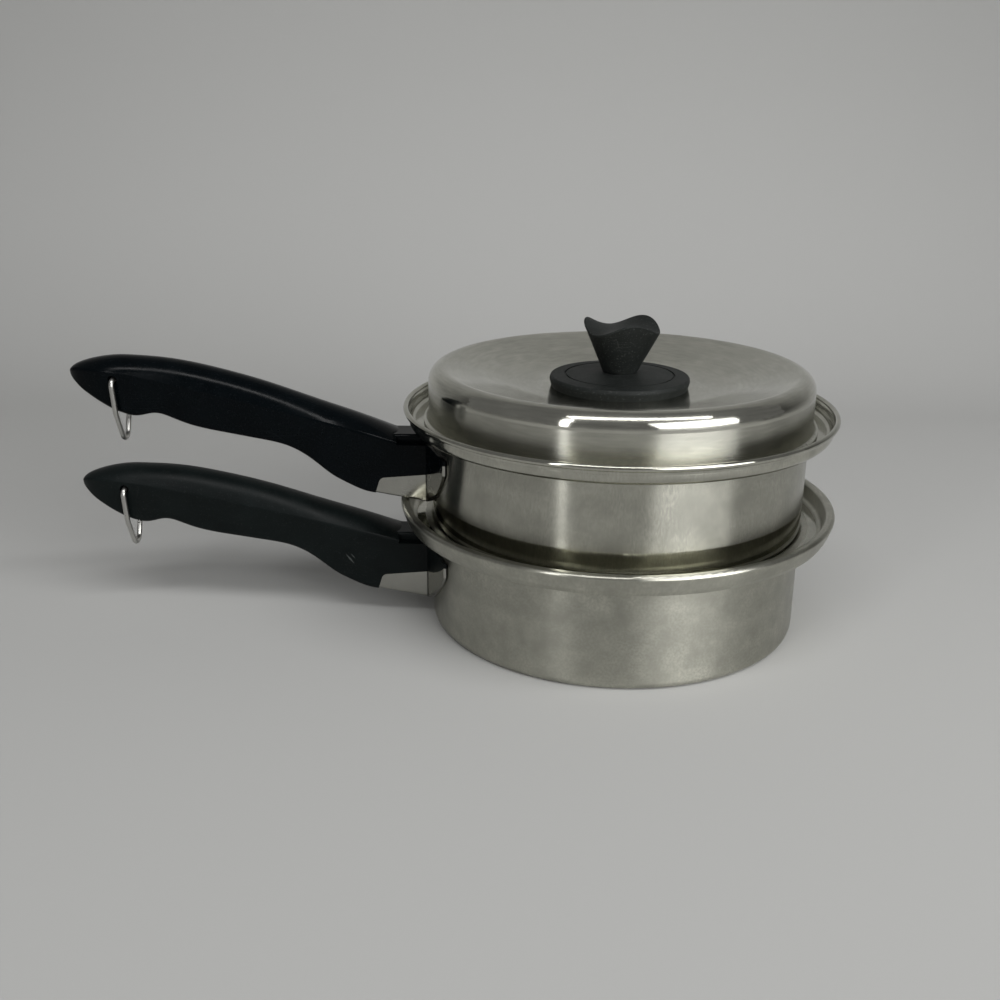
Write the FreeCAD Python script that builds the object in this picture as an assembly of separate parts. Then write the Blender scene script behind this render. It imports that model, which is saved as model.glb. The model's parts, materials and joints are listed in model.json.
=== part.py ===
import FreeCAD, Part
import math
import os
from dataclasses import dataclass

# A double boiler: a lower pan for water, an upper pan that sits in its mouth, and a lid.
# Sizes are in millimetres. The origin is the centre of the lower pan's underside, +Z is up,
# and both handles point along -X. A "reach" is a distance from the pans' axis towards a handle's tip.

# Sheet steel and fits
sheet = 1.2                     # thickness of the pans, the lid and the brackets
seat_gap = 0.3                  # play where one loose piece sits on another
fit_gap = 0.1                   # play between fixed pieces
cut_margin = 10.0               # how far a cutting shape runs past what it cuts

# Pan bodies
wall_radius = 94.0              # outside of the wall
mouth_bend = 2.5                # round edge where the wall turns out into the ledge
gutter_width = 10.4             # from the wall's outside to the lip's foot
gutter_radius = wall_radius + gutter_width
gutter_bend = 2.5
lower_corner_radius = 3.5       # outside of the bend between floor and wall
upper_corner_radius = 6.0
lower_ledge_height = 54.8       # top of the ledge above the pan's own underside
upper_ledge_height = 52.4
lip_height = 8.4                # top of the lip above the ledge

# Rim of the lower pan: a flat lip turned down outside as a skirt with a narrow hem
lip_lean = 1.2
lip_width = 5.2
lip_round = 1.6
skirt_lean = 2.8
skirt_drop = 10.0
hem_drop = 2.2
hem_lean = 1.4
hem_round = 1.5
skirt_top_radius = gutter_radius + lip_lean + lip_width

# Rim of the upper pan: a flared lip that ends in a bead
flare_lean = 1.0
flare_start = 5.0
flare_round = 5.0
bead_radius = 1.4

# Lid
lid_overhang = 1.4              # lid's wall outside the pan's wall
lid_foot_width = 2.4            # flange that rests on the ledge
lid_radius = wall_radius + lid_overhang
lid_foot_radius = lid_radius + lid_foot_width
lid_foot_bend = 1.6
lid_shoulder = 7.0
lid_centre_rise = 16.6          # top of the sunken centre above the lid's foot
lid_dish_radius = 47.0          # where the flat centre turns up
lid_dish_angle = 14.3           # slope of the dish, degrees
lid_dish_bend = 80.0

# Handle fastening
handle_screw_radius = 2.0
handle_screw_length = 14.0
handle_head_radius = 4.0
handle_head_height = 2.6
handle_head_clearance = 1.5     # between the screw's head and the lower pan's skirt
handle_screw_reach = skirt_top_radius + handle_head_clearance + handle_head_radius
lock_washer_radius = 4.2
lock_washer_thickness = 1.0
lock_washer_split = 0.8
handle_insert_radius = 3.6
handle_insert_length = 12.0
screw_tip_room = 2.0            # empty hole past the screw's tip

# Handle brackets
bracket_end_margin = 1.6        # floor left outside the lock washer
bracket_reach = handle_screw_reach + lock_washer_radius + bracket_end_margin
bracket_stand_off = 2.3         # from the wall to where the channel's sides fold out into ears
bracket_fold = wall_radius + bracket_stand_off
bracket_half_width = 14.0
bracket_floor_slope = 10.0      # degrees, the floor rises outwards
bracket_fold_height = 14.5      # side panel at the fold
bracket_end_height = 12.5       # side panel at its outer end
bracket_end_lean = 2.5
bracket_corner = 3.0
bracket_edge_round = 1.6
ear_half_width = 42.0
ear_middle_half_width = 29.0
ear_middle_height = 20.5        # top edge of an ear, above the foot of the fold
ear_end_height = 28.0
ear_end_depth = 5.0
ear_waist_half_width = 31.5
ear_waist_height = 10.6
lower_bracket_height = 9.2      # foot of the fold above the lower pan's underside

# Handles
grip_length = 154.4             # from the bracket's end to the tip
handle_reach = bracket_reach + grip_length
grip_overlap = 11.1             # how far the grip runs back over the bracket
grip_start = bracket_reach - grip_overlap
grip_root_inset = 2.9           # from the bracket's end to the grip line's root
grip_root_reach = bracket_reach - grip_root_inset
grip_root_height = 33.4         # grip line at its root, above the foot of the fold
lower_handle_rise = 11.6        # slope of the grip line, degrees
upper_handle_rise = 13.4
collar_height = 29.8            # front of the handle against the wall
collar_inset = 6.1
collar_reach = bracket_reach - collar_inset
neck_height = 34.0
neck_half_width = 9.0
neck_round = 1.5
neck_root = 4.0                 # how deep the neck runs into the collar and the grip
wing_height = 31.0
wing_end_rise = 2.5
wing_corner = 4.5
wing_depth = 20.0
grip_edge = 2.5                 # rounding of the grip's lower edges
crease_round = 1.6              # rounding between the crown and the sides
round_share = 0.3               # largest share of a closing section that a rounding takes
grip_sections = 26
tip_height = -8.4               # tip below the grip line
crown_nose = 29.0               # length over which the crown closes to the tip
belly_nose = 8.0
tip_flat = 0.1                  # end section, short of the full reach
side_nose = 25.0

# Guide curves of the grip: (share of its length, distance from the grip line or from the mid-plane)
crown_guide = ((0, 2.4), (0.08, 5.0), (0.25, 8.2), (0.405, 10.9), (0.55, 11.8), (0.69, 10.9), (0.82, 7.4),
               (1, 1.5))
crease_guide = ((0, -0.2), (0.285, 0.9), (0.6, 0.8), (0.79, 0.1), (0.88, -0.8), (1, -1.8))
belly_guide = ((0, -29.3), (0.073, -30.2), (0.127, -30.0), (0.169, -28.4), (0.224, -24.6), (0.278, -20.0),
               (0.332, -17.5), (0.417, -17.6), (0.532, -18.9), (0.665, -18.6), (0.742, -17.8), (0.787, -20.9),
               (0.826, -21.8), (0.882, -20.0), (0.943, -16.0), (1, -11.5))
side_guide = ((0, 13.8), (0.073, 13.8), (0.187, 13.2), (0.387, 12.2), (0.731, 11.4), (1, 10.8))
belly_side_guide = ((0, 13.8), (0.073, 13.6), (0.218, 12.0), (0.387, 9.8), (0.79, 8.4), (1, 8.0))

# Hanging rings
ring_inset = 24.6               # from the handle's tip to the hole
ring_reach = handle_reach - ring_inset
ring_height = -4.6              # hole below the grip line
ring_hole_radius = 2.3
ring_wire_radius = 1.3
ring_top_half_width = 13.1
ring_waist_half_width = 10.5
ring_waist_drop = 17.0
ring_point_drop = 37.8
ring_top_bend = 2.8
ring_waist_bend = 8.0
ring_foot_bend = 4.5

# Knob and its base
knob_base_foot = 34.0
knob_base_radius = 35.0
knob_base_belly = 3.5           # height of the widest level
knob_base_edge = 5.4            # height of the outer edge
knob_base_lean = 0.6
knob_base_belly_round = 2.0
knob_base_edge_round = 1.0
knob_base_height = 7.2
knob_base_land = 1.0            # flat rim around the knob's neck
knob_base_groove = 26.5
groove_width = 0.9
groove_depth = 0.7
knob_neck = 8.5
knob_rim_radius = 19.2
knob_lobes = 3
points_per_lobe = 8
knob_bearing = 165.0            # direction of one peak, degrees from +X
knob_dish_height = 21.5         # centre of the knob's top above its foot
knob_dish_rise = 2.2
knob_peak = 3.35                # height of a peak above the rim's mean level
knob_edge_round = 0.6
saddle_margin = 1.6             # half width of the surface that ends the knob, in rim radii
saddle_steps = 6                # points from its middle to its edge
knob_insert_radius = 4.0
knob_insert_length = 12.0
knob_screw_radius = 2.4
knob_head_radius = 4.6
knob_head_height = 3.0
knob_washer_radius = 8.0
knob_washer_thickness = 1.2
thread_gap = 0.05
slot_width = 1.2
slot_depth = 1.0
head_round_share = 0.4          # rounding of a screw's head, as a share of its height

UP = FreeCAD.Vector(0, 0, 1)
CENTRE = FreeCAD.Vector(0, 0, 0)


@dataclass
class Pan:
    """What sets one pan, its bracket and its handle apart from the other's."""
    name: str
    base: float
    corner: float
    ledge: float
    bracket: float
    rise: float


def point(x, y, z):
    return FreeCAD.Vector(x, y, z)


def rounding_arc(before, corner, after, radius):
    """Start, middle and end of the arc that rounds a corner."""
    back = (before - corner).normalize()
    onward = (after - corner).normalize()
    bisector = (back + onward).normalize()
    half = back.getAngle(bisector)
    length = radius / math.tan(half)
    middle = corner + bisector * (radius / math.sin(half) - radius)
    return corner + back * length, middle, corner + onward * length


def rounded_edges(corners, closed=False):
    """Lines and tangent arcs through (point, rounding) corners."""
    count = len(corners)
    arcs = []
    for i, (corner, radius) in enumerate(corners):
        inner = closed or 0 < i < count - 1
        if inner and radius > 0:
            arcs.append(rounding_arc(corners[i - 1][0], corner, corners[(i + 1) % count][0], radius))
        else:
            arcs.append((corner,))
    edges = []
    for i, arc in enumerate(arcs):
        if len(arc) == 3:
            edges.append(Part.Arc(*arc).toShape())
        if closed or i < count - 1:
            edges.append(Part.makeLine(arc[-1], arcs[(i + 1) % count][0]))
    return edges


def upright(corners):
    """(radius, height, rounding) corners as points in the upright plane."""
    return [(point(x, 0, z), radius) for x, z, radius in corners]


def shifted(corners, distance):
    """The same path moved to its right, with concentric roundings."""
    steps = [point(b[0] - a[0], 0, b[1] - a[1]).normalize() for a, b in zip(corners, corners[1:])]
    moved = []
    for i, (x, z, radius) in enumerate(corners):
        before = steps[max(i - 1, 0)]
        after = steps[min(i, len(steps) - 1)]
        aside = point(before.z + after.z, 0, -before.x - after.x)
        aside = aside * (2 * distance / aside.dot(aside))
        left_turn = before.x * after.z - before.z * after.x > 0
        grown = radius + distance if left_turn else radius - distance
        moved.append((x + aside.x, z + aside.z, grown if radius else 0))
    return moved


def revolved(edges):
    wire = Part.Wire(Part.__sortEdges__(edges))
    return Part.Face(wire).revolve(CENTRE, UP, 360)


def sheet_turned(corners):
    """A turned sheet whose visible face follows the corners, starting on the axis."""
    hidden = shifted(corners, sheet)
    edges = rounded_edges(upright(corners)) + rounded_edges(upright(hidden))
    for end in (0, -1):
        edges.append(Part.makeLine(upright(corners)[end][0], upright(hidden)[end][0]))
    return revolved(edges)


def turned(corners):
    """A turned solid with the given closed outline."""
    return revolved(rounded_edges(upright(corners), closed=True))


def side_prism(corners, low, high):
    """A prism across the handle, from y = low to y = high, with a rounded side outline."""
    wire = Part.Wire(rounded_edges([(point(x, low, z), radius) for x, z, radius in corners], closed=True))
    return Part.Face(wire).extrude(point(0, high - low, 0))


def cylinder(radius, start, axis, length):
    return Part.makeCylinder(radius, length, start, axis)


def mirrored(shape):
    return shape.mirror(CENTRE, point(0, 1, 0))


# Pans
def pan_body_corners(pan):
    inside = wall_radius - sheet
    floor = pan.base + sheet
    ledge = pan.base + pan.ledge
    return [(0, floor, 0), (inside, floor, pan.corner - sheet), (inside, ledge, mouth_bend),
            (gutter_radius, ledge, gutter_bend)]


def skirted_pan(pan):
    top = pan.base + pan.ledge + lip_height
    skirt_foot_radius = skirt_top_radius - skirt_lean
    rim = [(gutter_radius + lip_lean, top, lip_round), (skirt_top_radius, top, lip_round),
           (skirt_foot_radius, top - skirt_drop + hem_drop, hem_round),
           (skirt_foot_radius - hem_lean, top - skirt_drop, 0)]
    return sheet_turned(pan_body_corners(pan) + rim)


def ending_on_bead(corners, bead):
    """The path with its end drawn back to the bead's surface."""
    start, end = (point(x, 0, z) for x, z, radius in corners[-2:])
    along = (end - start).normalize()
    to_bead = bead - start
    nearest = to_bead.dot(along)
    aside_squared = to_bead.dot(to_bead) - nearest ** 2
    end = start + along * (nearest - math.sqrt(bead_radius ** 2 - aside_squared))
    return corners[:-1] + [(end.x, end.z, 0)]


def beaded_pan(pan):
    ledge = pan.base + pan.ledge
    bead_height = ledge + lip_height - bead_radius
    lip_end = gutter_radius + flare_lean
    bead = point(lip_end + sheet, 0, bead_height)
    rim = [(gutter_radius, ledge + flare_start, flare_round), (lip_end, bead_height, 0)]
    inside = pan_body_corners(pan) + rim
    faces = [upright(ending_on_bead(face, bead)) for face in (inside, shifted(inside, sheet))]
    edges = rounded_edges(faces[0]) + rounded_edges(faces[1])
    (axis_top, lip_inside), (axis_foot, lip_outside) = ((face[0][0], face[-1][0]) for face in faces)
    across = (bead - (lip_inside + lip_outside) * 0.5).normalize()
    edges.append(Part.makeLine(axis_top, axis_foot))
    edges.append(Part.Arc(lip_inside, bead + across * bead_radius, lip_outside).toShape())
    return revolved(edges)


def stack_height():
    """Height of the upper pan's underside when its rounded corner sits on the lower pan's mouth."""
    aside = (wall_radius - sheet + mouth_bend) - (wall_radius - upper_corner_radius)
    between = upper_corner_radius + mouth_bend + seat_gap
    above = math.sqrt(between ** 2 - aside ** 2)
    return lower_ledge_height - mouth_bend + above - upper_corner_radius


def upper_bracket_height():
    """Foot of the fold above the upper pan's underside, where the floor passes over the lower lip."""
    lip_top = lower_ledge_height + lip_height
    lip_reach = math.sqrt((gutter_radius + lip_lean) ** 2 - bracket_half_width ** 2)
    floor_rise = (lip_reach - bracket_fold) * math.tan(math.radians(bracket_floor_slope))
    return lip_top + seat_gap - floor_rise - stack_height()


# Handle brackets
def fold_foot(pan):
    return pan.base + pan.bracket


def floor_height(pan, reach):
    """Underside of the bracket's floor."""
    return fold_foot(pan) + (reach - bracket_fold) * math.tan(math.radians(bracket_floor_slope))


def panel_height(pan, reach):
    """Top edge of the channel's sides."""
    along = (reach - bracket_fold) / (bracket_reach - bracket_end_lean - bracket_fold)
    return fold_foot(pan) + bracket_fold_height + along * (bracket_end_height - bracket_fold_height)


def channel_outline(pan, front, grow=0):
    """Side outline of the channel, larger by grow at its outer end and top."""
    end = bracket_reach + grow
    end_top = end - bracket_end_lean
    return [(-end, floor_height(pan, end), 0),
            (-end_top, panel_height(pan, end_top) + grow, bracket_corner),
            (-front, panel_height(pan, front) + grow, 0),
            (-front, floor_height(pan, front), 0)]


def channel_core(pan, gap):
    """The space inside the channel, smaller by gap."""
    far = bracket_reach + cut_margin
    near = bracket_fold - cut_margin
    low = sheet / math.cos(math.radians(bracket_floor_slope)) + gap
    high = fold_foot(pan) + 2 * bracket_fold_height
    half = bracket_half_width - sheet - gap
    return side_prism([(-far, floor_height(pan, far) + low, 0), (-far, high, 0), (-near, high, 0),
                       (-near, floor_height(pan, near) + low, 0)], -half, half)


def flare_bearing():
    """Angle from the handle to where an ear's plane comes nearest to the axis."""
    corner = math.hypot(bracket_fold, bracket_half_width)
    return math.atan2(bracket_half_width, bracket_fold) + math.acos((wall_radius + sheet) / corner)


def flare_slab(pan, depth):
    """A slab that ends in an ear's outer plane, on the +Y side."""
    reach = wall_radius + sheet
    corner = point(reach - depth, -2 * ear_half_width, fold_foot(pan) - ear_end_height)
    slab = Part.makeBox(depth, 4 * ear_half_width, 3 * ear_end_height, corner)
    return slab.rotate(CENTRE, UP, 180 - math.degrees(flare_bearing()))


def flare_prism(edges):
    """The front outline of an ear or wing, carried from the bracket's end far into the wall."""
    return Part.Face(Part.Wire(edges)).extrude(point(bracket_reach / 2, 0, 0))


def front_point(pan, y, height):
    return point(-bracket_reach, y, fold_foot(pan) + height)


def flare_edge(pan, inner, gap):
    """Ends and curve of an ear's top edge, raised by gap."""
    start = front_point(pan, inner, bracket_fold_height + gap)
    middle = front_point(pan, ear_middle_half_width, ear_middle_height + gap)
    end = front_point(pan, ear_half_width, ear_end_height + gap)
    return start, end, Part.Arc(start, middle, end).toShape()


def bracket_ear(pan):
    inner = bracket_half_width - sheet / 2
    start, end, top_edge = flare_edge(pan, inner, 0)
    end_foot = front_point(pan, ear_half_width, ear_end_height - ear_end_depth)
    waist = front_point(pan, ear_waist_half_width, ear_waist_height)
    foot = front_point(pan, inner, 0)
    lower_edge = Part.Arc(end_foot, waist, foot).toShape()
    outline = flare_prism([top_edge, Part.makeLine(end, end_foot), lower_edge, Part.makeLine(foot, start)])
    return flare_slab(pan, sheet).common(outline)


def screw_axis():
    slope = math.radians(bracket_floor_slope)
    return point(math.sin(slope), 0, math.cos(slope))


def screw_seat(pan):
    return point(-handle_screw_reach, 0, floor_height(pan, handle_screw_reach))


def bracket(pan):
    outline = channel_outline(pan, bracket_fold - sheet)
    block = side_prism(outline, -bracket_half_width, bracket_half_width)
    foot_edges = [edge for edge in block.Edges if edge.BoundBox.YLength < 1e-6
                  and edge.BoundBox.ZMax < floor_height(pan, bracket_reach) + 1e-3
                  and edge.BoundBox.XLength > 1]
    channel = block.makeFillet(bracket_edge_round, foot_edges).cut(channel_core(pan, 0))
    ear = bracket_ear(pan)
    hole_start = screw_seat(pan) - screw_axis() * sheet
    hole = cylinder(handle_screw_radius + seat_gap, hole_start, screw_axis(), 4 * sheet)
    return channel.fuse([ear, mirrored(ear)]).removeSplitter().cut(hole)


# Handles
def guide(points):
    """Smooth curve through (share, distance) points."""
    curve = Part.BSplineCurve()
    curve.interpolate(Points=[point(s, 0, h) for s, h in points], Parameters=[s for s, h in points])
    return lambda share: curve.value(share).z


def nose(gap, length):
    """Round closing factor, 0 at the tip and 1 from the given length inwards."""
    open_part = 1 - min(gap, length) / length
    return math.sqrt(1 - open_part ** 2)


def grip_line(pan, reach):
    along = reach - grip_root_reach
    return fold_foot(pan) + grip_root_height + along * math.tan(math.radians(pan.rise))


def grip_section(pan, reach, guides):
    share = (reach - grip_start) / (handle_reach - grip_start)
    crown, crease, belly, side, belly_side = (curve(share) for curve in guides)
    gap = handle_reach - reach
    tip = grip_line(pan, reach) + tip_height
    crown_closing = nose(gap, crown_nose)
    top = tip + (crown - tip_height) * crown_closing
    shoulder = tip + (crease - tip_height) * crown_closing
    bottom = tip + (belly - tip_height) * nose(gap, belly_nose)
    half = side * nose(gap, side_nose)
    half_low = belly_side * nose(gap, side_nose)
    crown_slope = 2 * math.atan2(top - shoulder, half)
    inwards = math.cos(crown_slope)
    upwards = math.sin(crown_slope)
    path = [(half - inwards, shoulder + upwards), (half, shoulder), (half_low, bottom), (-half_low, bottom),
            (-half, shoulder), (inwards - half, shoulder + upwards)]
    path = [point(-reach, y, z) for y, z in path]
    soft = min(crease_round, round_share * half)
    edge = min(grip_edge, round_share * (shoulder - bottom), round_share * half_low)
    arcs = [rounding_arc(path[i], path[i + 1], path[i + 2], r) for i, r in enumerate((soft, edge, edge, soft))]
    edges = [Part.Arc(arcs[-1][2], point(-reach, 0, top), arcs[0][0]).toShape()]
    for arc, following in zip(arcs, arcs[1:]):
        edges.append(Part.Arc(*arc).toShape())
        edges.append(Part.makeLine(arc[2], following[0]))
    edges.append(Part.Arc(*arcs[-1]).toShape())
    return Part.Wire(edges)


def grip_stations():
    """Reaches of the grip's sections, closer together towards the tip."""
    length = handle_reach - tip_flat - grip_start
    quarter = math.pi / 2
    return [grip_start + length * math.sin(quarter * i / grip_sections) for i in range(grip_sections + 1)]


def grip(pan):
    guides = [guide(g) for g in (crown_guide, crease_guide, belly_guide, side_guide, belly_side_guide)]
    return Part.makeLoft([grip_section(pan, reach, guides) for reach in grip_stations()], True)


def collar(pan):
    """Front of the handle: a full-width body in the bracket and a narrower neck on top."""
    top = fold_foot(pan) + collar_height
    near = wall_radius - cut_margin
    half = bracket_half_width - fit_gap
    body = side_prism([(-collar_reach, floor_height(pan, collar_reach), 0), (-collar_reach, top, 0),
                       (-near, top, 0), (-near, floor_height(pan, near), 0)], -half, half)
    neck_top = fold_foot(pan) + neck_height
    neck_length = collar_reach + neck_root - near
    neck_corner = point(-collar_reach - neck_root, -neck_half_width, top - neck_root)
    neck = Part.makeBox(neck_length, 2 * neck_half_width, neck_top - top + neck_root, neck_corner)
    top_edges = [edge for edge in neck.Edges if edge.BoundBox.ZMin > neck_top - fit_gap
                 and edge.BoundBox.XLength > neck_root]
    return [body, neck.makeFillet(neck_round, top_edges)]


def wing(pan):
    """Part of the handle's front that spreads along the wall above an ear."""
    inner = bracket_half_width - sheet
    start, end, low_edge = flare_edge(pan, inner, 2 * fit_gap)
    chain = [end, front_point(pan, ear_half_width, ear_end_height + wing_end_rise),
             front_point(pan, ear_half_width - wing_corner, wing_height),
             front_point(pan, inner, wing_height), start]
    upper_edges = [Part.makeLine(a, b) for a, b in zip(chain, chain[1:])]
    return flare_slab(pan, wing_depth).common(flare_prism([low_edge] + upper_edges))


def ring_centre(pan):
    return point(-ring_reach, 0, grip_line(pan, ring_reach) + ring_height)


def insert_start(pan):
    return screw_seat(pan) + screw_axis() * (sheet + 4 * fit_gap)


def handle(pan):
    side_wing = wing(pan)
    body = grip(pan).fuse(collar(pan) + [side_wing, mirrored(side_wing)])
    wall = cylinder(wall_radius + seat_gap, point(0, 0, pan.base), UP, pan.ledge)
    half = bracket_half_width + cut_margin
    near = wall_radius - cut_margin
    far = bracket_reach + fit_gap
    low = floor_height(pan, near) - cut_margin
    bracket_room = side_prism(channel_outline(pan, near, fit_gap), -half, half).cut(channel_core(pan, fit_gap))
    below = side_prism([(-far, floor_height(pan, far), 0), (-near, floor_height(pan, near), 0), (-near, low, 0),
                        (-far, low, 0)], -half, half)
    insert_hole = cylinder(handle_insert_radius + fit_gap, screw_seat(pan), screw_axis(),
                           sheet + 5 * fit_gap + handle_insert_length)
    tip_hole = cylinder(handle_screw_radius + seat_gap, screw_seat(pan), screw_axis(),
                        handle_screw_length + screw_tip_room)
    middle = ring_centre(pan)
    hole_start = middle - point(0, 2 * ring_top_half_width, 0)
    ring_hole = cylinder(ring_hole_radius, hole_start, point(0, 1, 0), 4 * ring_top_half_width)
    return body.removeSplitter().cut([wall, bracket_room, below, insert_hole, tip_hole, ring_hole])


def handle_insert(pan):
    body = cylinder(handle_insert_radius, insert_start(pan), screw_axis(), handle_insert_length)
    bore = cylinder(handle_screw_radius + thread_gap, insert_start(pan), screw_axis(), handle_insert_length)
    return body.cut(bore)


def slotted_screw(seat, axis, shank_radius, length, head_radius, head_height):
    """A round-headed screw whose head's flat side lies on the seat and whose shank follows the axis."""
    shank = cylinder(shank_radius, seat, axis, length)
    head = cylinder(head_radius, seat - axis * head_height, axis, head_height)
    outer_rim = [edge for edge in head.Edges
                 if edge.Closed and edge.CenterOfMass.distanceToPoint(seat) > head_height / 2]
    head = head.makeFillet(head_round_share * head_height, outer_rim)
    slot = Part.makeBox(4 * head_radius, slot_width, slot_depth, point(-2 * head_radius, -slot_width / 2, 0))
    slot_place = FreeCAD.Placement(seat - axis * head_height, FreeCAD.Rotation(UP, axis))
    slot.Placement = slot_place.multiply(slot.Placement)
    return shank.fuse(head).removeSplitter().cut(slot)


def handle_screw(pan):
    seat = screw_seat(pan) - screw_axis() * lock_washer_thickness
    return slotted_screw(seat, screw_axis(), handle_screw_radius, handle_screw_length, handle_head_radius,
                         handle_head_height)


def lock_washer(pan):
    start = screw_seat(pan) - screw_axis() * lock_washer_thickness
    ring = cylinder(lock_washer_radius, start, screw_axis(), lock_washer_thickness)
    bore = cylinder(handle_screw_radius + fit_gap, start, screw_axis(), lock_washer_thickness)
    split = Part.makeBox(lock_washer_radius * 2, lock_washer_split, lock_washer_thickness * 4,
                         point(start.x, -lock_washer_split / 2, start.z - lock_washer_thickness))
    return ring.cut([bore, split])


def hanging_ring(pan):
    middle = ring_centre(pan)
    outline = [(-ring_top_half_width, 0, ring_top_bend), (ring_top_half_width, 0, ring_top_bend),
               (ring_waist_half_width, -ring_waist_drop, ring_waist_bend),
               (0, -ring_point_drop, ring_foot_bend),
               (-ring_waist_half_width, -ring_waist_drop, ring_waist_bend)]
    corners = [(middle + point(0, y, z), radius) for y, z, radius in outline]
    path = Part.Wire(Part.__sortEdges__(rounded_edges(corners, closed=True)))
    start = path.Edges[0]
    begin = start.valueAt(start.FirstParameter)
    circle = Part.makeCircle(ring_wire_radius, begin, start.tangentAt(start.FirstParameter))
    return path.makePipeShell([Part.Wire(circle)], True, True)


# Lid and knob
def lid_foot(upper):
    return upper.base + upper.ledge + seat_gap


def lid_top(upper):
    """Top of the sunken centre, where the knob's base stands."""
    return lid_foot(upper) + lid_centre_rise


def lid(upper):
    centre = lid_top(upper)
    slope = math.tan(math.radians(lid_dish_angle))
    edge = centre + (lid_radius - lid_dish_radius) * slope
    flange = lid_foot(upper) + sheet
    body = sheet_turned([(0, centre, 0), (lid_dish_radius, centre, lid_dish_bend),
                         (lid_radius, edge, lid_shoulder), (lid_radius, flange, lid_foot_bend),
                         (lid_foot_radius, flange, 0)])
    hole = cylinder(knob_screw_radius + seat_gap, point(0, 0, centre - 2 * sheet), UP, 4 * sheet)
    return body.cut(hole)


def knob_base(upper):
    foot = lid_top(upper)
    hole = knob_screw_radius + seat_gap
    edge = foot + knob_base_edge
    top = foot + knob_base_height
    crown_slope = (knob_base_height - knob_base_edge) / (knob_base_radius - knob_neck)
    groove_top = edge + (knob_base_radius - knob_base_groove) * crown_slope
    return turned([(hole, foot, 0), (knob_base_foot, foot, 0),
                   (knob_base_radius, foot + knob_base_belly, knob_base_belly_round),
                   (knob_base_radius - knob_base_lean, edge, knob_base_edge_round),
                   (knob_base_groove + groove_width, groove_top, 0),
                   (knob_base_groove + groove_width, groove_top - groove_depth, 0),
                   (knob_base_groove, groove_top - groove_depth, 0), (knob_base_groove, groove_top, 0),
                   (knob_neck + knob_base_land, top, 0), (hole, top, 0)])


def knob_seat(upper):
    return lid_top(upper) + knob_base_height


def peak_wave(angle):
    """1 towards each of the knob's peaks and -1 midway between them."""
    return math.cos(knob_lobes * (angle - math.radians(knob_bearing)))


def knob_section(height, seat):
    """One level of the knob's side, which runs straight from the round neck to the wavy rim."""
    count = points_per_lobe * knob_lobes
    points = []
    for i in range(count):
        angle = 2 * math.pi * i / count
        rim_height = knob_dish_height + knob_dish_rise + knob_peak * peak_wave(angle)
        radius = knob_neck + (knob_rim_radius - knob_neck) * height / rim_height
        points.append(point(radius * math.cos(angle), radius * math.sin(angle), seat + height))
    curve = Part.BSplineCurve()
    curve.interpolate(points, True)
    return Part.Wire(curve.toShape())


def saddle(seat):
    """Three-peaked, dished surface that ends the knob."""
    reach = saddle_margin * knob_rim_radius
    steps = [reach * i / saddle_steps for i in range(-saddle_steps, saddle_steps + 1)]
    grid = []
    for x in steps:
        row = []
        for y in steps:
            out = math.hypot(x, y) / knob_rim_radius
            wave = peak_wave(math.atan2(y, x))
            height = knob_dish_height + knob_dish_rise * out ** 2 + knob_peak * out ** 3 * wave
            row.append(point(x, y, seat + height))
        grid.append(row)
    surface = Part.BSplineSurface()
    surface.interpolate(grid)
    return surface.toShape()


def knob(upper):
    seat = knob_seat(upper)
    tall = knob_dish_height + knob_dish_rise + 2 * knob_peak
    levels = [tall * i / 4 for i in range(5)]
    body = Part.makeLoft([knob_section(height, seat) for height in levels], True)
    body = body.cut(saddle(seat).extrude(point(0, 0, 2 * tall))).Solids[0]
    rim = [edge for edge in body.Edges
           if edge.BoundBox.ZMin > seat + tall / 2 and edge.BoundBox.XLength > knob_neck]
    body = body.makeFillet(knob_edge_round, rim)
    room = cylinder(knob_insert_radius + fit_gap, point(0, 0, seat), UP, knob_insert_length + fit_gap)
    return body.cut(room)


def knob_insert(upper):
    seat = point(0, 0, knob_seat(upper))
    body = cylinder(knob_insert_radius, seat, UP, knob_insert_length)
    return body.cut(cylinder(knob_screw_radius + thread_gap, seat, UP, knob_insert_length))


def knob_screw(upper):
    under = lid_top(upper) - sheet - knob_washer_thickness
    length = knob_seat(upper) + knob_insert_length - fit_gap - under
    return slotted_screw(point(0, 0, under), UP, knob_screw_radius, length, knob_head_radius, knob_head_height)


def knob_washer(upper):
    under = point(0, 0, lid_top(upper) - sheet - knob_washer_thickness)
    ring = cylinder(knob_washer_radius, under, UP, knob_washer_thickness)
    return ring.cut(cylinder(knob_screw_radius + seat_gap, under, UP, knob_washer_thickness))


def main():
    lower = Pan("lower", 0.0, lower_corner_radius, lower_ledge_height, lower_bracket_height, lower_handle_rise)
    upper = Pan("upper", stack_height(), upper_corner_radius, upper_ledge_height, upper_bracket_height(),
                upper_handle_rise)
    pieces = {"lower_pan": skirted_pan(lower), "upper_pan": beaded_pan(upper)}
    for pan in (lower, upper):
        pieces[pan.name + "_handle_bracket"] = bracket(pan)
        pieces[pan.name + "_handle"] = handle(pan)
        pieces[pan.name + "_handle_insert"] = handle_insert(pan)
        pieces[pan.name + "_handle_screw"] = handle_screw(pan)
        pieces[pan.name + "_lock_washer"] = lock_washer(pan)
        pieces[pan.name + "_hanging_ring"] = hanging_ring(pan)
    for make in (lid, knob_base, knob, knob_insert, knob_screw, knob_washer):
        pieces[make.__name__] = make(upper)
    os.makedirs("parts", exist_ok=True)
    for name, shape in pieces.items():
        shape.exportStep("parts/" + name + ".step")


main()
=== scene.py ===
import json
import math
from collections import namedtuple

import bpy
from mathutils import Matrix, Vector


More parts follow.
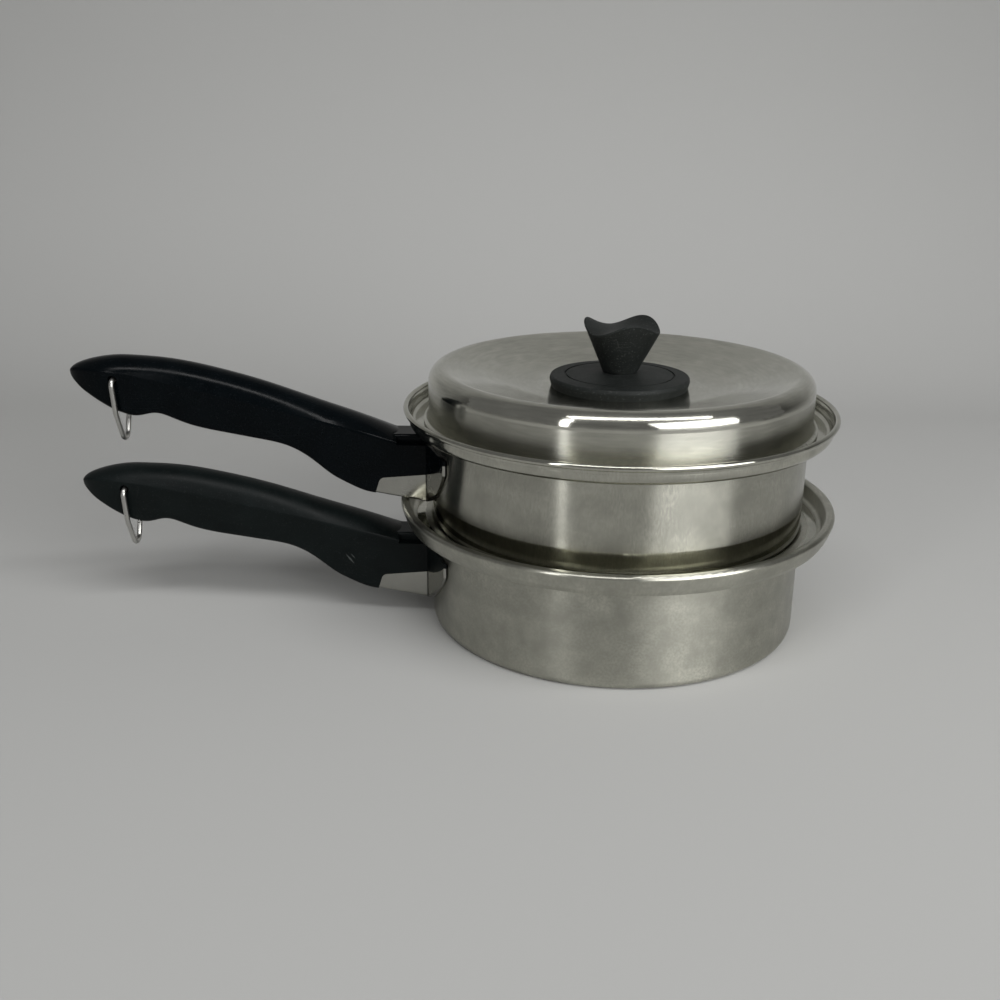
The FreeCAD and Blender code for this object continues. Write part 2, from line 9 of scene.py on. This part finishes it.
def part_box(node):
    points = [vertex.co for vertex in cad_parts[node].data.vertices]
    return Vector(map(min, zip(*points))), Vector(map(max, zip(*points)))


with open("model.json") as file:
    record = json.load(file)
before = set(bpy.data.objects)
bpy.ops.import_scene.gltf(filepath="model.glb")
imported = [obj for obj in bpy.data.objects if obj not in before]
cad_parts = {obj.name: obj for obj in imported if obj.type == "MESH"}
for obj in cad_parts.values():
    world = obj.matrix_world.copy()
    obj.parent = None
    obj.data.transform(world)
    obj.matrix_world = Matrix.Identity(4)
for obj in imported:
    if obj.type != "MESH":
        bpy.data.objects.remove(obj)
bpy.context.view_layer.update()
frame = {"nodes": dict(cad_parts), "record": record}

# A double boiler of stainless steel with dark moulded handles, on a pale sweep under soft light.
# Lengths are in metres, angles in degrees and lamp powers in watts. A share runs from 0 to 1.

# Camera: the photograph's place and lens
camera_place = Vector((-0.0479, -0.547, 0.2518))
camera_heading = -1.19          # from +Y towards +X
camera_down = 19.44
camera_roll = 0.42
camera_lens = 40.13             # millimetres
camera_sensor = 36.0            # millimetres

# Stage
sweep_front = -1.8
sweep_back = 0.75
sweep_height = 1.3
sweep_half_width = 4.0
sweep_bend = 0.35
sweep_bend_steps = 12
sweep_colour = (0.43, 0.43, 0.42)
sweep_shade = 0.97              # tone of its darker patches, as a share of its colour
sweep_patch_size = 0.5
sweep_patch_softness = 0.3
sweep_patch_share = 0.25
sweep_dullness = 0.9
sweep_gloss = 0.1
world_light = (0.17, 0.17, 0.17)

# Lamps
Lamp = namedtuple("Lamp", "name at aim width height power spread")
lamps = [
    Lamp("ceiling_softbox", at=(0.2, -0.75, 1.8), aim=(0.0, 0.1, 0.0),
         width=2.2, height=0.26, power=19.0, spread=180.0),
    Lamp("right_softbox", at=(0.87, -1.03, 0.55), aim=(0.0, 0.0, 0.06),
         width=1.25, height=0.9, power=4.9, spread=80.0),
    Lamp("left_strip", at=(-0.72, -1.08, 0.55), aim=(0.0, 0.0, 0.08),
         width=0.12, height=0.9, power=0.55, spread=80.0),
]

# Colours of the metals
lower_steel = (0.54, 0.535, 0.465)
upper_steel = (0.6, 0.595, 0.52)
lid_steel = (0.66, 0.655, 0.58)
# The brackets' steel is darker than the other steel: painted shade for the shadow they sit in under the rims
# and the dark handles they reflect
bracket_steel = (0.37, 0.367, 0.335)
wire_steel = (0.52, 0.515, 0.49)
fastener_grey = (0.42, 0.42, 0.41)
insert_brass = (0.6, 0.44, 0.19)

# Moulded phenolic, and the paler tone where it is rubbed
glossy_black = (0.0008, 0.0015, 0.002)
worn_black = (0.002, 0.0034, 0.0034)
knob_black = (0.0065, 0.0078, 0.0072)
glossy_rubbed = (0.02, 0.024, 0.028)
worn_rubbed = (0.055, 0.06, 0.058)
knob_rubbed = (0.08, 0.085, 0.08)

# Zones of the spun pieces with a dullness of their own, each a ring between two radii and two heights
Zone = namedtuple("Zone", "inner outer low high dullness")
zone_edge = 0.0003              # over which a zone fades in
zone_margin = 0.001             # by which a zone passes the axis, or the piece's top or foot
past_rims = 0.12                # outer radius of a zone that takes in the rim
lower_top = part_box("lower_pan")[1].z
lower_lip_foot = lower_top - 0.0022
lower_zones = [
    # Lip and gutter
    Zone(inner=0.0975, outer=past_rims, low=lower_lip_foot, high=lower_top + zone_margin, dullness=0.3),
    Zone(inner=0.0975, outer=0.102, low=0.0, high=lower_lip_foot, dullness=0.1),
]
upper_foot, upper_top = (corner.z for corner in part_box("upper_pan"))
bead_foot = upper_top - 0.0045
upper_zones = [
    # Foot of the wall, bead, gutter and inside
    Zone(inner=-zone_margin, outer=0.096, low=upper_foot - zone_margin, high=upper_foot + 0.0168,
         dullness=0.07),
    Zone(inner=0.0975, outer=past_rims, low=bead_foot, high=upper_top + zone_margin, dullness=0.12),
    Zone(inner=0.0945, outer=past_rims, low=upper_top - 0.012, high=bead_foot, dullness=0.12),
    Zone(inner=-zone_margin, outer=0.0936, low=upper_foot + 0.0006, high=upper_top - 0.003, dullness=0.32),
]
lid_foot, lid_top = (corner.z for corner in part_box("lid"))
lid_shoulder_radius = 0.089
lid_zones = [
    # Dish and shoulder
    Zone(inner=-zone_margin, outer=lid_shoulder_radius, low=lid_foot, high=lid_top + zone_margin,
         dullness=0.12),
    Zone(inner=lid_shoulder_radius, outer=past_rims, low=lid_top - 0.0085, high=lid_top + zone_margin,
         dullness=0.12),
]

# Brush marks of the spun pieces: how fine they are down the wall and round the axis
Marks = namedtuple("Marks", "fineness run")
lower_marks = Marks(fineness=900.0, run=80.0)
upper_marks = Marks(fineness=420.0, run=110.0)
lid_marks = Marks(fineness=800.0, run=8.0)
mark_range = (0.35, 0.65)       # noise between which a mark goes from none to full
mark_share = 0.85               # how much of the darker tone a full mark takes
faint_mark_share = 0.17         # the same where the marks fade
mark_fading = (0.25, 0.75)      # haze between which the marks go from faint to full

# Spun steel
steel_shade = 0.62              # its darker tone, as a share of its colour
line_fineness = 1500.0
line_run = 1.3
lines_per_band = 14.0
line_share = 0.12               # how much of the darker tone the lines take
band_share = 0.45
band_range = (0.3, 0.7)         # noise between which a band goes from dark to bright
band_relief = 0.0001
band_relief_strength = 0.03
line_dullness = 0.03
haze_dullness = 0.06
haze_size = 0.03
haze_softness = 0.5
stain_size = 0.012
stain_softness = 0.17
quarter_turn = 0.25             # turns the streaks of light from along the lines to across them

# Pressed and drawn steel
pressed_shade = 0.75
pressed_patch_size = 0.008
pressed_patch_softness = 0.2
pressed_patch_share = 0.4
pressed_patch_dullness = 0.1
pressed_scratch_density = 240.0
pressed_scratch_width = 0.012
pressed_scratch_relief = 0.00005
pressed_scratch_strength = 0.15

# Painted shade along the bend of the brackets, between their sides and their ears
fold_reach = 0.0963
fold_half_width = 0.0006
fold_core = 0.3                 # share of the half width that is fully darkened by the painted shade
fold_share = 0.9
# Colour of the painted shade in the bend
fold_painted_shade = (0.03, 0.03, 0.028)

# Phenolic
phenolic_glow = 1.6             # tone of its paler patches, as a multiple of its colour
phenolic_patch_size = 0.015
phenolic_patch_softness = 0.22
phenolic_patch_dullness = 0.12
phenolic_scratch_density = 160.0
phenolic_scratch_width = 0.009
phenolic_scratch_share = 0.5
speck_fineness = 1800.0
speck_relief = 0.0001
fleck_coarseness = 0.8          # fineness of the flecks, as a share of the specks'
fleck_range = (0.62, 0.75)

# A short nick on the lower handle's near side: its middle, direction and half size
nick_middle = (-0.1366, -0.0132, 0.0298)
nick_slope = -51.0
nick_half_length = 0.0036
nick_half_width = 0.0005
nick_half_depth = 0.005
nick_cuts = ((0.0, 1.0), (0.0016, 0.55))    # shift and relative size of each cut

# Scratches: turn and squeeze of each layer, and the gaps that break them up
scratch_layers = ((25.0, 0.12), (-40.0, 0.1), (80.0, 0.14))
scratch_gap_fineness = 45.0
scratch_gap_range = (0.52, 0.66)
scratch_dullness = 0.15

# Brass
brass_shade = 0.6
brass_patch_size = 0.004
brass_patch_softness = 0.2
brass_dullness = (0.25, 0.4)

least_radius = 1e-5
noise_middle = 0.5


# Node helpers
def add(tree, kind, **settings):
    node = tree.nodes.new(kind)
    for name, value in settings.items():
        setattr(node, name, value)
    return node


def feed(tree, socket, value):
    """Links a socket to another one, or sets it to a plain value."""
    if isinstance(value, bpy.types.NodeSocket):
        tree.links.new(value, socket)
    else:
        socket.default_value = value


def feed_named(tree, node, **values):
    """Feeds inputs by their names, in small letters and with underscores for spaces."""
    for name, value in values.items():
        feed(tree, node.inputs[name.replace("_", " ").title()], value)


def maths(tree, operation, first, second=0.0, clamp=False):
    node = add(tree, "ShaderNodeMath", operation=operation, use_clamp=clamp)
    feed(tree, node.inputs[0], first)
    feed(tree, node.inputs[1], second)
    return node.outputs[0]


def plus(tree, first, second):
    return maths(tree, "ADD", first, second)


def minus(tree, first, second):
    return maths(tree, "SUBTRACT", first, second)


def times(tree, first, second):
    return maths(tree, "MULTIPLY", first, second)


def over(tree, first, second):
    return maths(tree, "DIVIDE", first, second)


def products(tree, *pairs):
    """The sum of the products of pairs of numbers."""
    total = 0.0
    for first, second in pairs:
        total = plus(tree, total, times(tree, first, second))
    return total


def stretch(tree, value, low, high, to_low=0.0, to_high=1.0):
    """Maps low..high to to_low..to_high, held at the ends."""
    node = add(tree, "ShaderNodeMapRange", clamp=True)
    feed_named(tree, node, value=value, from_min=low, from_max=high, to_min=to_low, to_max=to_high)
    return node.outputs["Result"]


def shaded(colour, share):
    return tuple(share * part for part in colour)


def blended(tree, share, first, second):
    """A mix of two colours."""
    node = add(tree, "ShaderNodeMix", data_type="RGBA")
    feed(tree, node.inputs[0], share)
    for socket, colour in ((node.inputs[6], first), (node.inputs[7], second)):
        feed(tree, socket, colour if isinstance(colour, bpy.types.NodeSocket) else (*colour, 1.0))
    return node.outputs[2]


def place(tree):
    """Position on the piece."""
    return add(tree, "ShaderNodeTexCoord").outputs["Object"]


def parts_of(tree, vector):
    """The three numbers of a vector."""
    split = add(tree, "ShaderNodeSeparateXYZ")
    feed(tree, split.inputs[0], vector)
    return split.outputs


def joined(tree, *parts):
    """A vector of three numbers."""
    node = add(tree, "ShaderNodeCombineXYZ")
    for socket, part in zip(node.inputs, parts):
        feed(tree, socket, part)
    return node.outputs[0]


def radius_at(tree, x, y):
    """Distance from the pans' axis, never quite 0."""
    return maths(tree, "MAXIMUM", maths(tree, "SQRT", products(tree, (x, x), (y, y))), least_radius)


def grain(tree, where, scale, detail=2.0, roughness=0.5):
    node = add(tree, "ShaderNodeTexNoise")
    feed_named(tree, node, vector=where, scale=scale, detail=detail, roughness=roughness)
    return node.outputs["Fac"]


def effect(name, inputs, outputs, output_type="NodeSocketFloat"):
    """An empty node group with named number inputs and named outputs."""
    tree = bpy.data.node_groups.new(name, "ShaderNodeTree")
    for label in inputs:
        tree.interface.new_socket(label, in_out="INPUT", socket_type="NodeSocketFloat")
    for label in outputs:
        tree.interface.new_socket(label, in_out="OUTPUT", socket_type=output_type)
    return tree, tree.nodes.new("NodeGroupInput").outputs, tree.nodes.new("NodeGroupOutput").inputs


def use(tree, group, **values):
    """Places an effect in a material with its own values."""
    node = add(tree, "ShaderNodeGroup", node_tree=group)
    feed_named(tree, node, **values)
    return node.outputs


# Effects shared by several finishes
def round_normal():
    """The normal of a turned surface, facing straight away from the axis, so that no facets show."""
    tree, _, out = effect("round normal", [], ["Normal"], "NodeSocketVector")
    x, y, z = parts_of(tree, place(tree))
    normal_x, normal_y, normal_z = parts_of(tree, add(tree, "ShaderNodeTexCoord").outputs["Normal"])
    radius = radius_at(tree, x, y)
    outwards = over(tree, products(tree, (normal_x, x), (normal_y, y)), radius)
    share = over(tree, outwards, radius)
    facing = add(tree, "ShaderNodeVectorTransform", vector_type="NORMAL", convert_from="OBJECT",
                 convert_to="WORLD")
    feed(tree, facing.inputs[0], joined(tree, times(tree, x, share), times(tree, y, share), normal_z))
    feed(tree, out["Normal"], facing.outputs[0])
    return tree


def turned_lines():
    """Fine lines left round the axis by spinning and polishing, and the broader bands that they form."""
    tree, given, out = effect("turned lines", ["Fineness", "Run"], ["Lines", "Bands"])
    x, y, z = parts_of(tree, place(tree))
    radius = radius_at(tree, x, y)
    around = times(tree, maths(tree, "ARCTAN2", y, x), given["Run"])
    for label, lines_wide in (("Lines", 1.0), ("Bands", lines_per_band)):
        fineness = over(tree, given["Fineness"], lines_wide)
        where = joined(tree, times(tree, radius, fineness), around, times(tree, z, fineness))
        feed(tree, out[label], grain(tree, where, 1.0, detail=3.0, roughness=0.6))
    return tree


def brush_marks():
    """Short marks of washing and polishing, from 0 to 1. A longer run gives shorter marks round the axis."""
    tree, given, out = effect("brush marks", ["Fineness", "Run"], ["Mark"])
    x, y, z = parts_of(tree, place(tree))
    radius = radius_at(tree, x, y)
    down = times(tree, minus(tree, radius, z), given["Fineness"])
    around = [times(tree, over(tree, part, radius), given["Run"]) for part in (x, y)]
    feed(tree, out["Mark"], stretch(tree, grain(tree, joined(tree, down, *around), 1.0), *mark_range))
    return tree


def smudges():
    """Soft patches of handling, from 0 to 1."""
    tree, given, out = effect("smudges", ["Size", "Softness"], ["Patch"])
    noise = grain(tree, place(tree), over(tree, 1.0, given["Size"]), detail=4.0, roughness=0.55)
    low = minus(tree, noise_middle, given["Softness"])
    high = plus(tree, noise_middle, given["Softness"])
    feed(tree, out["Patch"], stretch(tree, noise, low, high))
    return tree


def scuffs():
    """Thin random scratches, from 0 to 1."""
    tree, given, out = effect("scuffs", ["Density", "Width"], ["Scratch"])
    total = 0.0
    for turn, squeeze in scratch_layers:
        layer = add(tree, "ShaderNodeMapping")
        turns = [math.radians(angle) for angle in (turn, turn / 2, turn)]
        feed_named(tree, layer, vector=place(tree), rotation=turns, scale=(squeeze, 1.0, 1.0))
        cells = add(tree, "ShaderNodeTexVoronoi", feature="DISTANCE_TO_EDGE")
        feed_named(tree, cells, vector=layer.outputs[0], scale=given["Density"])
        line = stretch(tree, cells.outputs["Distance"], 0.0, given["Width"], 1.0, 0.0)
        total = maths(tree, "MAXIMUM", total, line)
    broken = stretch(tree, grain(tree, place(tree), scratch_gap_fineness), *scratch_gap_range)
    feed(tree, out["Scratch"], times(tree, total, broken))
    return tree


def single_nick():
    """One short cut, with a second finer one beside it."""
    tree, _, out = effect("single nick", [], ["Mark"])
    x, y, z = nick_middle
    cuts = []
    for shift, size in nick_cuts:
        cut = add(tree, "ShaderNodeMapping", vector_type="TEXTURE")
        feed_named(tree, cut, vector=place(tree), location=(x + shift, y, z + shift),
                   rotation=(0.0, -math.radians(nick_slope), 0.0))
        along, depth, aside = (maths(tree, "ABSOLUTE", part) for part in parts_of(tree, cut.outputs[0]))
        half_width = stretch(tree, along, 0.0, size * nick_half_length, size * nick_half_width, 0.0)
        line = maths(tree, "LESS_THAN", aside, half_width)
        near = maths(tree, "LESS_THAN", depth, nick_half_depth)
        cuts.append(times(tree, line, near))
    feed(tree, out["Mark"], maths(tree, "MAXIMUM", *cuts))
    return tree


def polished_band():
    """1 between two radii and two heights, with crisp edges."""
    tree, given, out = effect("polished band", ["Inner", "Outer", "Low", "High"], ["Mask"])
    x, y, z = parts_of(tree, place(tree))
    mask = 1.0
    for measure, low, high in ((radius_at(tree, x, y), "Inner", "Outer"), (z, "Low", "High")):
        for depth in (minus(tree, measure, given[low]), minus(tree, given[high], measure)):
            mask = times(tree, mask, maths(tree, "MULTIPLY", depth, 1 / zone_edge, clamp=True))
    feed(tree, out["Mask"], mask)
    return tree


def moulded_grain():
    """Fine relief of a moulded, dulled surface, and its pale flecks."""
    tree, given, out = effect("moulded grain", ["Fineness"], ["Height", "Fleck"])
    where = place(tree)
    feed(tree, out["Height"], grain(tree, where, given["Fineness"], detail=3.0, roughness=0.65))
    flecks = grain(tree, where, times(tree, given["Fineness"], fleck_coarseness), detail=1.0)
    feed(tree, out["Fleck"], stretch(tree, flecks, *fleck_range))
    return tree


rounded = round_normal()
turned = turned_lines()
brushed = brush_marks()
smudged = smudges()
scuffed = scuffs()
nicked = single_nick()
banded = polished_band()
moulded = moulded_grain()


# Finishes
def blank_finish(name):
    """A new material with a bare surface shader."""
    material = bpy.data.materials.new(name)
    material.use_nodes = True
    tree = material.node_tree
    return material, tree, tree.nodes["Principled BSDF"]


def relief(tree, shader, height, distance, strength, normal=None):
    """Fine relief on the surface, or on a normal of its own."""
    bump = add(tree, "ShaderNodeBump")
    feed_named(tree, bump, height=height, distance=distance, strength=strength)
    if normal:
        feed(tree, bump.inputs["Normal"], normal)
    feed(tree, shader.inputs["Normal"], bump.outputs["Normal"])


def spun_steel(name, colour, dullness, streak, haze, marks, zones):
    """Sheet steel spun to shape and brushed round its axis, then hazed and stained by washing."""
    material, tree, shader = blank_finish(name)
    lines = use(tree, turned, fineness=line_fineness, run=line_run)
    cloud = use(tree, smudged, size=haze_size, softness=haze_softness)["Patch"]
    stain = use(tree, smudged, size=stain_size, softness=stain_softness)["Patch"]
    mark = use(tree, brushed, fineness=marks.fineness, run=marks.run)["Mark"]
    darker = shaded(colour, steel_shade)
    tint = colour
    for share in (stretch(tree, lines["Bands"], *band_range, band_share, 0.0),
                  times(tree, lines["Lines"], line_share),
                  times(tree, stain, haze),
                  times(tree, mark, stretch(tree, cloud, *mark_fading, faint_mark_share, mark_share))):
        tint = blended(tree, share, tint, darker)
    rough = plus(tree, dullness, times(tree, lines["Lines"], line_dullness))
    rough = plus(tree, rough, times(tree, cloud, haze_dullness * haze))
    for zone in zones:
        inside = use(tree, banded, inner=zone.inner, outer=zone.outer, low=zone.low, high=zone.high)["Mask"]
        rough = plus(tree, rough, times(tree, inside, minus(tree, zone.dullness, rough)))
    around = add(tree, "ShaderNodeTangent", direction_type="RADIAL", axis="Z").outputs[0]
    feed_named(tree, shader, base_color=tint, roughness=rough, metallic=1.0, anisotropic=streak,
               anisotropic_rotation=quarter_turn, tangent=around)
    relief(tree, shader, lines["Bands"], band_relief, band_relief_strength, use(tree, rounded)["Normal"])
    return material


def polished_steel(name, colour, dullness, folded=False):
    """Bright pressed or drawn steel, with a painted shade line where a folded piece is bent."""
    material, tree, shader = blank_finish(name)
    patch = use(tree, smudged, size=pressed_patch_size, softness=pressed_patch_softness)["Patch"]
    scratch = use(tree, scuffed, density=pressed_scratch_density, width=pressed_scratch_width)["Scratch"]
    tint = blended(tree, times(tree, patch, pressed_patch_share), colour, shaded(colour, pressed_shade))
    if folded:
        # Painted shade: a dark line along the bend of a folded piece
        x, y, z = parts_of(tree, place(tree))
        off_fold = maths(tree, "ABSOLUTE", plus(tree, x, fold_reach))
        line = stretch(tree, off_fold, fold_core * fold_half_width, fold_half_width, fold_share, 0.0)
        tint = blended(tree, line, tint, fold_painted_shade)
    rough = plus(tree, dullness, times(tree, patch, pressed_patch_dullness))
    rough = plus(tree, rough, times(tree, scratch, scratch_dullness))
    feed_named(tree, shader, base_color=tint, roughness=rough, metallic=1.0)
    relief(tree, shader, scratch, pressed_scratch_relief, pressed_scratch_strength)
    return material


def phenolic(name, colour, rubbed, dullness, grain_depth, wear, gloss, nick=None):
    """Dark moulded phenolic, from glossy to dulled by washing."""
    material, tree, shader = blank_finish(name)
    specks = use(tree, moulded, fineness=speck_fineness)
    patch = use(tree, smudged, size=phenolic_patch_size, softness=phenolic_patch_softness)["Patch"]
    scratch = use(tree, scuffed, density=phenolic_scratch_density, width=phenolic_scratch_width)["Scratch"]
    tint = blended(tree, patch, colour, shaded(colour, phenolic_glow))
    tint = blended(tree, times(tree, scratch, phenolic_scratch_share * wear), tint, rubbed)
    tint = blended(tree, times(tree, specks["Fleck"], wear), tint, rubbed)
    if nick:
        tint = blended(tree, use(tree, nick)["Mark"], tint, rubbed)
    rough = plus(tree, dullness, times(tree, patch, phenolic_patch_dullness))
    rough = plus(tree, rough, times(tree, scratch, scratch_dullness))
    feed_named(tree, shader, base_color=tint, roughness=rough)
    shader.inputs["Specular IOR Level"].default_value = gloss
    relief(tree, shader, specks["Height"], speck_relief, grain_depth)
    return material


def turned_brass():
    material, tree, shader = blank_finish("turned_brass")
    patch = use(tree, smudged, size=brass_patch_size, softness=brass_patch_softness)["Patch"]
    tint = blended(tree, patch, insert_brass, shaded(insert_brass, brass_shade))
    rough = stretch(tree, patch, 0.0, 1.0, *brass_dullness)
    feed_named(tree, shader, base_color=tint, roughness=rough, metallic=1.0)
    return material


finishes = {
    "lower_pan_steel": spun_steel("satin_lower_pan", lower_steel, dullness=0.3, streak=0.8, haze=0.9,
                                  marks=lower_marks, zones=lower_zones),
    "upper_pan_steel": spun_steel("polished_upper_pan", upper_steel, dullness=0.19, streak=1.0, haze=0.8,
                                  marks=upper_marks, zones=upper_zones),
    "lid_steel": spun_steel("polished_lid", lid_steel, dullness=0.21, streak=1.0, haze=0.45,
                            marks=lid_marks, zones=lid_zones),
    "bracket_steel": polished_steel("bright_brackets", bracket_steel, dullness=0.1, folded=True),
    "ring_wire": polished_steel("bright_ring_wire", wire_steel, dullness=0.26),
    "glossy_phenolic": phenolic("glossy_upper_handle", glossy_black, glossy_rubbed, dullness=0.13,
                                grain_depth=0.02, wear=0.2, gloss=0.07),
    "worn_phenolic": phenolic("dulled_lower_handle", worn_black, worn_rubbed, dullness=0.36,
                              grain_depth=0.1, wear=0.16, gloss=0.12, nick=nicked),
    "knob_phenolic": phenolic("dulled_knob", knob_black, knob_rubbed, dullness=0.52,
                              grain_depth=0.3, wear=0.6, gloss=0.22),
    "fastener_steel": polished_steel("plain_fasteners", fastener_grey, dullness=0.3),
    "insert_brass": turned_brass(),
}


def dress_nodes():
    """Gives every CAD node the finish of its slot."""
    for subpart in frame["record"]["subparts"]:
        piece = frame["nodes"][subpart["node"]]
        piece.data.materials.clear()
        piece.data.materials.append(finishes[subpart["material_slot"]])


# Stage, light and camera
def sweep_profile():
    """(y, z) points of the floor, its bend and the wall behind."""
    points = [(sweep_front, 0.0)]
    for i in range(sweep_bend_steps + 1):
        angle = math.pi / 2 * i / sweep_bend_steps
        y = sweep_back - sweep_bend + sweep_bend * math.sin(angle)
        points.append((y, sweep_bend - sweep_bend * math.cos(angle)))
    return points + [(sweep_back, sweep_height)]


def pale_paper():
    material, tree, shader = blank_finish("pale_paper")
    patch = use(tree, smudged, size=sweep_patch_size, softness=sweep_patch_softness)["Patch"]
    share = times(tree, patch, sweep_patch_share)
    tint = blended(tree, share, sweep_colour, shaded(sweep_colour, sweep_shade))
    feed_named(tree, shader, base_color=tint, roughness=sweep_dullness)
    shader.inputs["Specular IOR Level"].default_value = sweep_gloss
    return material


def pale_sweep():
    profile = sweep_profile()
    points = [(side * sweep_half_width, y, z) for y, z in profile for side in (-1, 1)]
    faces = [(2 * i, 2 * i + 1, 2 * i + 3, 2 * i + 2) for i in range(len(profile) - 1)]
    mesh = bpy.data.meshes.new("pale_sweep")
    mesh.from_pydata(points, [], faces)
    for polygon in mesh.polygons:
        polygon.use_smooth = True
    mesh.materials.append(pale_paper())
    sweep = bpy.data.objects.new("pale_sweep", mesh)
    bpy.context.scene.collection.objects.link(sweep)


def softbox(lamp):
    """A flat rectangular lamp that faces its aim."""
    light = bpy.data.lights.new(lamp.name, "AREA")
    light.shape = "RECTANGLE"
    light.size = lamp.width
    light.size_y = lamp.height
    light.energy = lamp.power
    light.spread = math.radians(lamp.spread)
    holder = bpy.data.objects.new(lamp.name, light)
    holder.location = lamp.at
    holder.rotation_euler = (Vector(lamp.aim) - Vector(lamp.at)).to_track_quat("-Z", "Y").to_euler()
    bpy.context.scene.collection.objects.link(holder)


def studio_light():
    for lamp in lamps:
        softbox(lamp)
    world = bpy.data.worlds.new("studio")
    world.use_nodes = True
    world.node_tree.nodes["Background"].inputs["Color"].default_value = (*world_light, 1.0)
    bpy.context.scene.world = world


def photograph_camera():
    data = bpy.data.cameras.new("photograph_camera")
    data.sensor_width = camera_sensor
    data.lens = camera_lens
    camera = bpy.data.objects.new("photograph_camera", data)
    turn = Matrix.Rotation(math.radians(-camera_heading), 4, "Z")
    tip = Matrix.Rotation(math.radians(90 - camera_down), 4, "X")
    roll = Matrix.Rotation(math.radians(camera_roll), 4, "Z")
    camera.matrix_world = Matrix.Translation(camera_place) @ turn @ tip @ roll
    bpy.context.scene.collection.objects.link(camera)
    bpy.context.scene.camera = camera


dress_nodes()
pale_sweep()
studio_light()
photograph_camera()
bpy.context.scene.view_settings.view_transform = "Standard"
